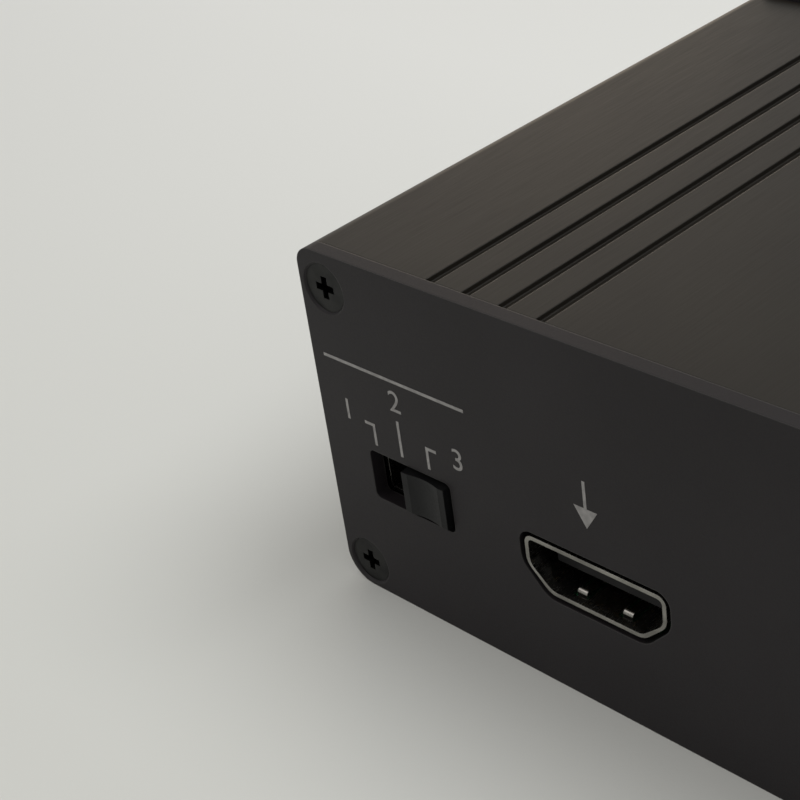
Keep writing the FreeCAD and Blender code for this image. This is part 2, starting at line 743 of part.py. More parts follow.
def video_port(name, x, mouth, inward):
    """A video port whose mouth is at one Y. Inward is the sign of Y that leads into the case."""

    def span(start, end):
        """Low and high Y between two depths behind the mouth."""
        near = f"({mouth} {inward} ({start}))"
        far = f"({mouth} {inward} ({end}))"
        return (near, far) if inward == "+" else (far, near)

    top = f"({PORT_LOW} + port_height)"
    floor = f"({PORT_LOW} + port_shell_wall)"
    roof = f"({top} - port_shell_wall)"
    finger_end = "(finger_start + finger_length)"
    slots = []
    fingers = []
    for low, high, face in ((PORT_LOW, floor, floor), (roof, top, roof)):
        for side in "-+":
            centre = f"({x} {side} finger_offset)"
            slots.append(box("finger_slot", about(centre, "(finger_width / 2 + finger_slot_gap)"),
                             span("finger_start", finger_end),
                             (f"{low} - close_fit", f"{high} + close_fit")))
            fingers.append(box("finger", about(centre, "finger_width / 2"),
                               span("finger_start + finger_slot_gap", finger_end), (low, high)))
            bump_depth = "finger_start + finger_slot_gap + finger_bump_radius"
            fingers.append(rod("finger_bump", "x",
                               (f"{centre} - finger_width / 2", f"{mouth} {inward} ({bump_depth})", face),
                               "finger_width", "finger_bump_radius"))
    legs = []
    for side in "-+":
        wall = about(f"({x} {side} (port_width - port_shell_wall) / 2)", "port_shell_wall / 2")
        legs.append(lead("port_leg", wall, span("port_leg_setback", "port_leg_setback + port_leg_width"),
                         f"{top} - port_side_height / 2"))
    outer = port_block(f"{name}_outer", x, "0", span("0", "port_depth"))
    inner = port_block(f"{name}_inner", x, "-port_shell_wall",
                       span("-cut_margin", "port_depth + cut_margin"))
    tube = cut(f"{name}_tube", outer, [inner] + slots)
    node(f"{name}_shell", fuse(f"{name}_shell_whole", [tube] + fingers + legs))

    middle = f"({PORT_LOW} + port_height / 2)"
    block_start = "(port_depth - port_block_depth)"
    block = port_block(f"{name}_block", x, "-port_shell_wall - close_fit",
                       span(block_start, "port_depth"))
    blade = box("tongue_blade", about(x, "tongue_width / 2"),
                span("tongue_recess", f"{block_start} + cut_margin"), about(middle, "tongue_thickness / 2"))
    reach = "(port_depth + contact_thickness)"
    slits = []
    contacts = []
    for up, counted in (("+", "upper_contact_count"), ("-", "lower_contact_count")):
        layer_z = f"({middle} {up} (tongue_thickness + contact_thickness) / 2)"
        layer = about(layer_z, "contact_thickness / 2")
        half_row = f"(({counted} - 1) * contact_spacing + contact_width) / 2"
        slits.append(box("contact_slit", about(x, f"{half_row} + close_fit"),
                         span(block_start, "port_depth + cut_margin"),
                         about(layer_z, "contact_thickness / 2 + close_fit")))
        for index in range(count(counted)):
            wide = about(f"({x} + ({index} - ({counted} - 1) / 2) * contact_spacing)", "contact_width / 2")
            strip = box("contact_strip", wide, span("tongue_recess + contact_recess", reach), layer)
            drop = box("contact_drop", wide, span("port_depth", reach), ("board_top", layer[1]))
            foot = box("contact_foot", wide, span("port_depth", f"{reach} + contact_foot_length"),
                       ("board_top", "board_top + contact_thickness"))
            contacts.append(fuse("contact", [strip, drop, foot]))
    node(f"{name}_tongue", cut(f"{name}_insulator", fuse(f"{name}_insulator_blank", [block, blade]), slits))
    node(f"{name}_contacts", group(f"{name}_contact_set", contacts))


# Optical audio port

OPTICAL_FACE = f"({REAR} - optical_recess)"
OPTICAL_BACK = f"({OPTICAL_FACE} - optical_depth)"
CAVITY_BACK = f"({OPTICAL_FACE} - optical_cavity_depth)"
MOUTH_LOW = "(board_top + optical_floor)"
MOUTH_TOP = f"({MOUTH_LOW} + optical_mouth)"
BARREL_RADIUS = "(hinge_pin_radius + close_fit + shutter_barrel_wall)"
HINGE_Y = f"({OPTICAL_FACE} - optical_lip - running_fit - {BARREL_RADIUS})"
HINGE_Z = f"({MOUTH_TOP} + {BARREL_RADIUS} / 2)"
EMITTER_Z = f"({MOUTH_LOW} + optical_mouth / 2)"


def optical_housing():
    outer = box("optical_outer", about(OPTICAL_X, "optical_width / 2"), (OPTICAL_BACK, OPTICAL_FACE),
                ("board_top", "board_top + optical_height"))
    mouth = box("optical_cavity", about(OPTICAL_X, "optical_mouth / 2"),
                (CAVITY_BACK, f"{OPTICAL_FACE} + cut_margin"), (MOUTH_LOW, MOUTH_TOP))
    recess = box("shutter_recess", about(OPTICAL_X, "optical_mouth / 2"),
                 (CAVITY_BACK, f"{OPTICAL_FACE} - optical_lip"),
                 (EMITTER_Z, f"{HINGE_Z} + {BARREL_RADIUS} + running_fit"))
    pin_start = (f"{OPTICAL_X} - optical_width / 2", HINGE_Y, HINGE_Z)
    pin_hole = rod("hinge_hole", "x", pin_start, "optical_width", "hinge_pin_radius")
    nest = box("emitter_nest", about(OPTICAL_X, "emitter_width / 2 + close_fit"),
               (f"{OPTICAL_BACK} - cut_margin", f"{OPTICAL_BACK} + emitter_depth"),
               ("board_top - cut_margin", f"{EMITTER_Z} + emitter_height / 2 + close_fit"))
    sight = rod("emitter_sight", "y", (OPTICAL_X, OPTICAL_BACK, EMITTER_Z),
                "optical_depth - optical_cavity_depth + cut_margin", "emitter_lens_radius + close_fit")
    node("optical_port_housing", cut("optical_housing", outer, [mouth, recess, pin_hole, nest, sight]))
    pin = rod("hinge_pin", "x", pin_start, "optical_width", "hinge_pin_radius")
    node("optical_port_hinge_pin", pin)


def optical_shutter():
    """A dust shutter that hangs from its pin and opens inwards, closed by a small coil spring."""
    half = "(optical_mouth / 2 - running_fit)"
    left_end = f"({OPTICAL_X} - {half})"
    around = "(hinge_pin_radius + close_fit)"
    flap = box("shutter_flap", about(OPTICAL_X, half), about(HINGE_Y, "shutter_thickness / 2"),
               (f"{MOUTH_LOW} + running_fit", HINGE_Z))
    notch = box("spring_notch", (f"{left_end} - cut_margin", f"{left_end} + shutter_spring_width"),
                about(HINGE_Y, BARREL_RADIUS),
                (f"{HINGE_Z} - {BARREL_RADIUS} - running_fit", f"{HINGE_Z} + cut_margin"))
    barrel = rod("shutter_barrel", "x", (f"{left_end} + shutter_spring_width", HINGE_Y, HINGE_Z),
                 f"2 * {half} - shutter_spring_width", BARREL_RADIUS)
    bore = rod("barrel_bore", "x", (left_end, HINGE_Y, HINGE_Z), f"2 * {half}", around)
    whole = fuse("shutter_whole", [cut("shutter_flap_notched", flap, [notch]), barrel])
    node("optical_port_shutter", cut("shutter", whole, [bore]))

    outside = f"({around} + shutter_spring_wire)"
    coil_width = "(shutter_spring_width - running_fit)"
    coil = rod("spring_coil", "x", (left_end, HINGE_Y, HINGE_Z), coil_width, outside)
    leg = box("spring_leg", (left_end, f"{left_end} + shutter_spring_wire"),
              (f"{HINGE_Y} - {outside}", f"{HINGE_Y} - shutter_thickness / 2"),
              (f"{HINGE_Z} - shutter_spring_leg", HINGE_Z))
    eye = rod("spring_eye", "x", (f"{left_end} - cut_margin", HINGE_Y, HINGE_Z),
              f"{coil_width} + 2 * cut_margin", around)
    spring = cut("shutter_spring", fuse("spring_whole", [coil, leg]), [eye])
    node("optical_port_shutter_spring", spring)


def optical_emitter():
    lens = rod("emitter_lens", "y", (OPTICAL_X, OPTICAL_BACK, EMITTER_Z),
               "optical_depth - optical_cavity_depth", "emitter_lens_radius")
    block = box("emitter_block", about(OPTICAL_X, "emitter_width / 2"),
                (OPTICAL_BACK, f"{OPTICAL_BACK} + emitter_depth"), about(EMITTER_Z, "emitter_height / 2"))
    node("optical_port_emitter", fuse("emitter", [block, lens]))
    leads = [
        lead("emitter_lead", about(f"{OPTICAL_X} + {step} * emitter_lead_spacing", "lead_width / 2"),
             about(f"{OPTICAL_BACK} + emitter_depth / 2", "lead_width / 2"),
             f"{EMITTER_Z} - emitter_height / 2")
        for step in (-1, 0, 1)
    ]
    node("optical_port_leads", group("emitter_leads", leads))


# Analogue audio sockets

SLEEVE_ROOT = f"({BOARD_REAR} - sleeve_flange_thickness)"
SLEEVE_TIP = f"({REAR} + sleeve_length)"
SLEEVE_BORE = "(sleeve_radius - sleeve_wall)"
INSERT_TIP = f"({SLEEVE_TIP} - insert_recess)"
CONTACT_TIP = f"({INSERT_TIP} - centre_contact_recess)"
CONTACT_ROOT = f"({BOARD_REAR} - audio_block_depth)"
CONTACT_WAY = "(centre_contact_radius + close_fit)"


def audio_sleeve(x):
    length = f"{SLEEVE_TIP} - {SLEEVE_ROOT}"
    root = (x, SLEEVE_ROOT, AUDIO_Z)
    flange = rod("sleeve_flange", "y", root, "sleeve_flange_thickness", "sleeve_flange_radius")
    tube = rod("sleeve_tube", "y", root, length, "sleeve_radius")
    hollow = rod("sleeve_hollow", "y", (x, f"{SLEEVE_ROOT} - cut_margin", AUDIO_Z),
                 f"{length} + 2 * cut_margin", SLEEVE_BORE)
    return cut("sleeve", fuse("sleeve_blank", [flange, tube]), [hollow])


def audio_insert(x):
    ring = rod("insert_ring", "y", (x, SLEEVE_ROOT, AUDIO_Z), f"{INSERT_TIP} - {SLEEVE_ROOT}",
               f"{SLEEVE_BORE} - close_fit")
    way = rod("insert_way", "y", (x, f"{SLEEVE_ROOT} - cut_margin", AUDIO_Z),
              f"{CONTACT_TIP} - {SLEEVE_ROOT} + cut_margin", CONTACT_WAY)
    eye = rod("insert_eye", "y", (x, f"{CONTACT_TIP} - cut_margin", AUDIO_Z), "sleeve_length",
              "centre_contact_bore")
    return cut("insert", ring, [way, eye])


def audio_contact(x):
    shaft = rod("contact_tube", "y", (x, CONTACT_ROOT, AUDIO_Z), f"{CONTACT_TIP} - {CONTACT_ROOT}",
                "centre_contact_radius")
    hole = rod("contact_hole", "y", (x, f"{CONTACT_TIP} - sleeve_length", AUDIO_Z),
               "sleeve_length + cut_margin", "centre_contact_bore")
    tail = lead("contact_tail", about(x, "lead_width / 2"),
                (f"{CONTACT_ROOT} - lead_width", CONTACT_ROOT),
                f"{AUDIO_Z} + centre_contact_radius / 2")
    return fuse("centre_contact", [cut("contact_drilled", shaft, [hole]), tail])


def audio_sockets():
    """Two plated sockets side by side in one block, each with a coloured insert and a centre contact."""
    block = box("audio_block", about(AUDIO_X, "(audio_socket_spacing / 2 + audio_block_side)"),
                (CONTACT_ROOT, BOARD_REAR), ("board_top", "board_top + audio_block_height"))
    cutters = []
    tails = []
    tail_front = f"({SLEEVE_ROOT} - lead_width)"
    tail_top = f"({AUDIO_Z} - {SLEEVE_BORE})"
    for x in AUDIO_XS:
        cutters.append(rod("flange_seat", "y", (x, SLEEVE_ROOT, AUDIO_Z),
                           "sleeve_flange_thickness + cut_margin", "sleeve_flange_radius + close_fit"))
        cutters.append(rod("contact_way", "y", (x, f"{CONTACT_ROOT} - cut_margin", AUDIO_Z),
                           "audio_block_depth + 2 * cut_margin", CONTACT_WAY))
        cutters.append(box("tail_slot", about(x, "ground_tail_width / 2 + close_fit"),
                           (f"{tail_front} - close_fit", f"{BOARD_REAR} + cut_margin"),
                           ("board_top - cut_margin", f"{tail_top} + close_fit")))
        tails.append(lead("ground_tail", about(x, "ground_tail_width / 2"),
                          (tail_front, SLEEVE_ROOT), tail_top))
    node("audio_socket_block", cut("audio_block_drilled", block, cutters))
    node("audio_socket_sleeves", group("sleeves", [audio_sleeve(x) for x in AUDIO_XS]))
    node("left_audio_insert", audio_insert(AUDIO_XS[0]))
    node("right_audio_insert", audio_insert(AUDIO_XS[1]))
    node("audio_socket_centre_contacts", group("centre_contacts", [audio_contact(x) for x in AUDIO_XS]))
    node("audio_socket_ground_tails", group("ground_tails", tails))


# Power inlet

POWER_BACK = f"({BOARD_REAR} - power_body_depth)"
POWER_BORE_END = f"({REAR} - power_bore_depth)"


def power_inlet():
    """A barrel power inlet: moulded body with a round nose in the panel, centre pin, spring contact."""
    block = box("power_block", about(POWER_X, "power_body_width / 2"), (POWER_BACK, BOARD_REAR),
                ("board_top", "board_top + power_body_height"))
    nose = rod("power_nose", "y", (POWER_X, f"{BOARD_REAR} - cut_margin", POWER_Z),
               f"{REAR} - {BOARD_REAR} + cut_margin", "power_nose_radius")
    bore = rod("power_bore", "y", (POWER_X, POWER_BORE_END, POWER_Z), "power_bore_depth + cut_margin",
               "power_bore_radius")
    pin_way = rod("power_pin_way", "y", (POWER_X, f"{POWER_BACK} - cut_margin", POWER_Z),
                  "power_body_depth", "power_pin_radius")
    leaf_top = f"({POWER_Z} - power_bore_radius - power_leaf_drop + power_leaf_thickness)"
    leaf_low = f"({leaf_top} - power_leaf_thickness)"
    leaf_back = f"({POWER_BORE_END} + power_leaf_thickness)"
    leaf_wide = about(POWER_X, "power_contact_width / 2")
    leaf_way = box("power_leaf_way", about(POWER_X, "power_contact_width / 2 + close_fit"),
                   (POWER_BORE_END, f"{leaf_back} + power_leaf_length + close_fit"),
                   ("board_top - cut_margin", POWER_Z))
    body = cut("power_body", fuse("power_blank", [block, nose]), [bore, pin_way, leaf_way])
    node("power_inlet_body", body)
    pin = rod("power_pin", "y", (POWER_X, POWER_BACK, POWER_Z), f"{REAR} - power_pin_recess - {POWER_BACK}",
              "power_pin_radius")
    pin_tail = lead("power_pin_tail", about(POWER_X, "power_contact_width / 2"),
                    (f"{POWER_BACK} - lead_width", POWER_BACK), f"{POWER_Z} + power_pin_radius")
    node("power_inlet_pin", fuse("power_pin_whole", [pin, pin_tail]))
    leaf = box("power_leaf", leaf_wide, (leaf_back, f"{leaf_back} + power_leaf_length"),
               (leaf_low, leaf_top))
    leaf_tail = lead("power_leaf_tail", leaf_wide, (leaf_back, f"{leaf_back} + lead_width"), leaf_top)
    node("power_inlet_spring_contact", fuse("power_leaf_whole", [leaf, leaf_tail]))


def power_lamp():
    """A lamp behind the front panel: domed lens through its hole, flange behind, two bent leads."""
    flange_front = f"({TUBE_FRONT} + close_fit)"
    flange_rear = f"({flange_front} + lamp_flange_thickness)"
    dome_centre = f"({FRONT} - lamp_proud + lamp_radius)"
    flange = rod("lamp_flange", "y", (LAMP_X, flange_front, LAMP_Z), "lamp_flange_thickness",
                 "lamp_flange_radius")
    barrel = rod("lamp_barrel", "y", (LAMP_X, dome_centre, LAMP_Z), f"{flange_rear} - {dome_centre}",
                 "lamp_radius")
    dome = doc.addObject("Part::Sphere", "lamp_dome")
    bind(dome, Radius="lamp_radius")
    place(dome, LAMP_X, dome_centre, LAMP_Z)
    node("power_lamp_lens", fuse("lamp_lens", [flange, barrel, dome]))
    bend = (f"{flange_rear} + lamp_lead_bend", f"{flange_rear} + lamp_lead_bend + lead_width")
    leads = []
    for side in "-+":
        wide = about(f"{LAMP_X} {side} lamp_lead_spacing / 2", "lead_width / 2")
        run = box("lamp_lead_run", wide, (flange_rear, bend[1]), about(LAMP_Z, "lead_width / 2"))
        drop = lead("lamp_lead_drop", wide, bend, f"{LAMP_Z} + lead_width / 2")
        leads.append(fuse("lamp_lead", [run, drop]))
    node("power_lamp_leads", group("lamp_leads", leads))


# Electronics


def spot(name):
    """Where a board part's centre stands, measured from the side that it keeps to."""
    sides = {
        "left": f"({LEFT} + {name}_x)",
        "middle": f"{name}_x",
        "right": f"({RIGHT} - {name}_x)",
    }
    return sides[PLACES[name][0]], f"{name}_y"


def on_board(name, x, y, length, width, height, standoff="0"):
    """A block that stands on the board, centred on x and y."""
    low = f"(board_top + {standoff})"
    return box(name, about(x, f"({length}) / 2"), about(y, f"({width}) / 2"), (low, f"{low} + {height}"))


def chip_pins(x, y, across, spacing, pins, sides, height):
    """Feet in rows along a chip's sides, which are a given distance across from each other."""
    out = f"({across} / 2 + chip_pin_reach / 2)"
    made = []
    for side in sides:
        sign = "-" if side in ("left", "near") else "+"
        for index in range(count(pins)):
            shift = f"({index} - ({pins} - 1) / 2) * {spacing}"
            if side in ("left", "right"):
                foot = (f"{x} {sign} {out}", f"{y} + {shift}", "chip_pin_reach", f"{spacing} / 2")
            else:
                foot = (f"{x} + {shift}", f"{y} {sign} {out}", f"{spacing} / 2", "chip_pin_reach")
            made.append(on_board("chip_pin", *foot, f"{height} / 2"))
    return made


def processors():
    for label, chip in (("video_processor", "video_chip"), ("audio_processor", "audio_chip")):
        size = f"{chip}_size"
        x, y = spot(chip)
        node(label, on_board(label, x, y, size, size, "large_chip_height", "chip_standoff"))
        feet = chip_pins(x, y, size, "large_chip_spacing", f"{chip}_pins_per_side",
                         ("left", "right", "near", "far"), "large_chip_height")
        node(f"{label}_pins", group(f"{label}_feet", feet))


def small_chips():
    chips = []
    feet = []
    for name in ("memory_left", "memory_right"):
        chips.append(on_board("memory", *spot(name), "small_chip_length", "small_chip_width",
                              "small_chip_height", "chip_standoff"))
        feet += chip_pins(*spot(name), "small_chip_width", "small_chip_spacing", "small_chip_pins_per_side",
                          ("near", "far"), "small_chip_height")
    node("memory_chips", group("memories", chips))
    node("memory_chip_pins", group("memory_feet", feet))
    node("audio_converter", on_board("converter", *spot("converter_chip"), "converter_chip_length",
                                     "small_chip_width", "small_chip_height", "chip_standoff"))
    feet = chip_pins(*spot("converter_chip"), "small_chip_width", "small_chip_spacing",
                     "converter_chip_pins_per_side", ("near", "far"), "small_chip_height")
    node("audio_converter_pins", group("converter_feet", feet))


def power_parts():
    node("power_inductor", on_board("inductor", *spot("inductor"), "inductor_size", "inductor_size",
                                    "inductor_height"))
    packs = []
    tabs = []
    for name in ("regulator_near", "regulator_far"):
        x, y = spot(name)
        packs.append(on_board("regulator", x, y, "regulator_width", "regulator_length", "regulator_height",
                              "chip_standoff"))
        tabs.append(on_board("regulator_tab", f"{x} + (regulator_width + regulator_tab_reach) / 2", y,
                             "regulator_tab_reach", "regulator_tab_width", "regulator_height / 2"))
        for step in (-1, 0, 1):
            tabs.append(on_board("regulator_pin", f"{x} - (regulator_width + chip_pin_reach) / 2",
                                 f"{y} + {step} * regulator_spacing", "chip_pin_reach",
                                 "regulator_spacing / 3", "regulator_height / 2"))
    node("regulators", group("regulator_packs", packs))
    node("regulator_tabs", group("regulator_feet", tabs))
    bases = []
    cans = []
    for name in ("capacitor_middle", "capacitor_left", "capacitor_rear", "capacitor_front"):
        x, y = spot(name)
        bases.append(on_board("capacitor_base", x, y, "capacitor_base_size", "capacitor_base_size",
                              "capacitor_base_height"))
        cans.append(rod("capacitor_can", "z", (x, y, "board_top + capacitor_base_height"),
                        "capacitor_height", "capacitor_radius"))
    node("capacitor_bases", group("capacitor_base_set", bases))
    node("electrolytic_capacitors", group("capacitor_cans", cans))
    node("input_diode", on_board("diode", *spot("diode"), "diode_length", "diode_width", "diode_height"))
    node("input_fuse", on_board("fuse", *spot("fuse"), "fuse_length", "fuse_length / 2", "fuse_length / 4"))


def clock_crystals():
    crystals = []
    for name in ("crystal_front", "crystal_rear"):
        x, y = spot(name)
        straight = "(crystal_length - crystal_width)"
        ends = [
            rod("crystal_end", "z", (f"{x} {side} {straight} / 2", y, "board_top"), "crystal_height",
                "crystal_width / 2")
            for side in "-+"
        ]
        middle = on_board("crystal_middle", x, y, straight, "crystal_width", "crystal_height")
        crystals.append(fuse("crystal", ends + [middle]))
    node("clock_crystals", group("crystals", crystals))


def small_parts():
    """A row of ceramic capacitors to the left of each processor and of resistors to its right."""
    ceramics = []
    resistors = []
    for chip in ("video_chip", "audio_chip"):
        x, y = spot(chip)
        out = f"({chip}_size / 2 + chip_pin_reach + small_part_length)"
        for step in (-1, 0, 1):
            along = f"{y} + {step} * small_part_spacing"
            ceramics.append(on_board("ceramic", f"{x} - {out}", along, "small_part_width",
                                     "small_part_length", "ceramic_height"))
            resistors.append(on_board("resistor", f"{x} + {out}", along, "small_part_width",
                                      "small_part_length", "resistor_height"))
    node("ceramic_capacitors", group("ceramics", ceramics))
    node("resistors", group("resistor_row", resistors))


def programming_header():
    x = "header_from_middle"
    y = f"({BOARD_FRONT} + header_from_board_front)"
    block = on_board("header_block", x, y, "header_pins * header_spacing", "header_spacing",
                     "header_base_height")
    ways = []
    pins = []
    for index in range(count("header_pins")):
        along = f"({x} + ({index} - (header_pins - 1) / 2) * header_spacing)"
        ways.append(box("header_way", about(along, "header_pin_width / 2 + close_fit"),
                        about(y, "header_pin_width / 2 + close_fit"),
                        about("board_top", "header_base_height + cut_margin")))
        pins.append(lead("header_pin", about(along, "header_pin_width / 2"),
                         about(y, "header_pin_width / 2"), "board_top + header_pin_height"))
    node("programming_header_base", cut("header_base", block, ways))
    node("programming_header_pins", group("header_pin_row", pins))


def main_board():
    """The board in its slots, drilled for every lead that goes through it."""
    plate = box("board_plate", about("0", "case_width / 2 - wall_thickness - board_side_clearance"),
                (BOARD_FRONT, BOARD_REAR), (BOARD_BOTTOM, "board_top"))
    node("main_board", cut("board", plate, board_holes))


housing()
front_panel()
rear_panel()
panel_screws()
switch_frame()
switch_terminals()
switch_knob()
video_port("input_port", INPUT_X, f"({FRONT} + port_recess)", "+")
video_port("output_port", OUTPUT_X, f"({REAR} - port_recess)", "-")
optical_housing()
optical_shutter()
optical_emitter()
audio_sockets()
power_inlet()
power_lamp()
processors()
small_chips()
power_parts()
clock_crystals()
small_parts()
programming_header()
main_board()
doc.recompute()

for thing in doc.Objects:
    if {"Invalid", "Error"} & set(thing.State):
        raise RuntimeError(f"{thing.Name} failed: {thing.State}")
for label, thing in nodes.items():
    if thing.Shape.isNull() or not thing.Shape.isValid() or not thing.Shape.Solids:
        raise RuntimeError(f"{label} has no valid solid")
os.makedirs("parts", exist_ok=True)
for label, thing in nodes.items():
    thing.Shape.exportStep(f"parts/{label}.step")
print(len(nodes), "nodes,", sum(len(thing.Shape.Solids) for thing in nodes.values()), "solids")
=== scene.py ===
import math

import bmesh
import bpy
from mathutils import Matrix, Vector

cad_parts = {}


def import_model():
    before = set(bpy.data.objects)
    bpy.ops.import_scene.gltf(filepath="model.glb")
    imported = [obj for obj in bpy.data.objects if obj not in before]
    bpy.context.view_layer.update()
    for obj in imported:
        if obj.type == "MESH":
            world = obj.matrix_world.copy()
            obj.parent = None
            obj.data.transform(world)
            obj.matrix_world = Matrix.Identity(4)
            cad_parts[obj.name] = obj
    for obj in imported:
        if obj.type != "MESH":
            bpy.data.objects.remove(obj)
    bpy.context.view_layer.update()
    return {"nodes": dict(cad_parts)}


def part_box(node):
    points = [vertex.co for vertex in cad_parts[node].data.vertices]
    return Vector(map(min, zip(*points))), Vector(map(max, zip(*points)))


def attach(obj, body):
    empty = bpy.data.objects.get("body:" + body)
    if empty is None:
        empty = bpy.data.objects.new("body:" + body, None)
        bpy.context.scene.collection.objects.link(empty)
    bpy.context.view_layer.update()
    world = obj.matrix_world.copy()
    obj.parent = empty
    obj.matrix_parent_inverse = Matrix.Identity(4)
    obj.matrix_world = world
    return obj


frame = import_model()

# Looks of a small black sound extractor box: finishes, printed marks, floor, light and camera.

MM = 0.001
nodes = frame["nodes"]


# Shader helpers

FULL_WEAR_AND_HIGHLIGHT = 0.8  # agreement of the eased and the true normal where the edge's wear and painted highlight are strongest
WEAR_AND_HIGHLIGHT_END = 0.99  # the same where the wear and the painted highlight end


def colour(code):
    """Linear colour from an sRGB hex code."""
    parts = [int(code[i:i + 2], 16) / 255 for i in (1, 3, 5)]
    return [p / 12.92 if p <= 0.04045 else ((p + 0.055) / 1.055) ** 2.4 for p in parts] + [1]


def add(tree, kind, inputs=None, **settings):
    """Adds a shader node. Each input takes a plain value or another node's output."""
    made = tree.nodes.new("ShaderNode" + kind)
    for name, value in settings.items():
        setattr(made, name, value)
    for name, value in (inputs or {}).items():
        if isinstance(value, bpy.types.NodeSocket):
            tree.links.new(value, made.inputs[name])
        else:
            made.inputs[name].default_value = value
    return made


def new_material(name):
    """A material with a bare shader, and the place on the object that its patterns start from."""
    material = bpy.data.materials.new(name)
    material.use_nodes = True
    tree = material.node_tree
    tree.nodes.clear()
    shader = add(tree, "BsdfPrincipled")
    add(tree, "OutputMaterial", {"Surface": shader.outputs[0]})
    place = add(tree, "TexCoord").outputs["Object"]
    return material, tree, shader, place


def grain(tree, place, size_mm, stretch=(1, 1, 1), detail=3.0):
    """Noise whose features are about size_mm across, stretched along the axes."""
    scale = [1 / (size_mm * MM * s) for s in stretch]
    moved = add(tree, "Mapping", {"Vector": place, "Scale": scale}).outputs[0]
    return add(tree, "TexNoise", {"Vector": moved, "Scale": 1.0, "Detail": detail}).outputs[0]


def levels(tree, value, low, high, start=0.35, end=0.65):
    """The value's range from start to end, spread from low to high."""
    inputs = {0: value, 1: start, 2: end, 3: low, 4: high}
    return add(tree, "MapRange", inputs, clamp=True).outputs[0]


def blend(tree, factor, first, second):
    """The first colour where the factor is nothing, the second where it is one."""
    inputs = {0: factor, 6: first, 7: second}
    return add(tree, "Mix", inputs, data_type="RGBA").outputs[2]


def worn_and_highlit_edges(tree, edge_mm):
    """Lighter edge mask, partly real wear and partly painted highlight: one on edges sharper than
    edge_mm, nothing on the faces between them.
    """
    eased = add(tree, "Bevel", {"Radius": edge_mm * MM}, samples=6).outputs[0]
    flat = add(tree, "NewGeometry").outputs["True Normal"]
    turned = add(tree, "VectorMath", {0: eased, 1: flat}, operation="DOT_PRODUCT").outputs["Value"]
    return levels(tree, turned, 1.0, 0.0, start=FULL_WEAR_AND_HIGHLIGHT, end=WEAR_AND_HIGHLIGHT_END)


def bump(tree, shader, height, depth_mm, edge_mm=0.1):
    """A raised grain on a surface whose edges are eased by edge_mm."""
    eased = add(tree, "Bevel", {"Radius": edge_mm * MM}, samples=4).outputs[0]
    inputs = {"Height": height, "Distance": depth_mm * MM, "Normal": eased}
    tree.links.new(add(tree, "Bump", inputs).outputs[0], shader.inputs["Normal"])


def finish(name, dark, light, *, rough, patch_mm, fine_mm, depth_mm, metallic=0.0,
           stretch=(1, 1, 1), specular=0.5, coat=0.0, edge_mm=0.06, worn_and_highlit=None):
    """A plain finish: patches between two colours, edges lightened when worn_and_highlit is given
    (partly real wear, partly painted highlight), uneven gloss and a fine raised grain.
    """
    material, tree, shader, place = new_material(name)
    patches = grain(tree, place, patch_mm)
    fine = grain(tree, place, fine_mm, stretch, detail=4.0)
    shade = blend(tree, levels(tree, patches, 0.0, 1.0), colour(dark), colour(light))
    if worn_and_highlit:
        # edges lightened towards this colour: partly real wear, partly a painted highlight of light
        # catching the eased edges
        shade = blend(tree, worn_and_highlit_edges(tree, edge_mm), shade, colour(worn_and_highlit))
    tree.links.new(shade, shader.inputs["Base Color"])
    gloss = levels(tree, fine, *rough, start=0.25, end=0.75)
    tree.links.new(gloss, shader.inputs["Roughness"])
    shader.inputs["Metallic"].default_value = metallic
    shader.inputs["Specular IOR Level"].default_value = specular
    shader.inputs["Coat Weight"].default_value = coat
    bump(tree, shader, fine, depth_mm, edge_mm)
    return material


# Finishes

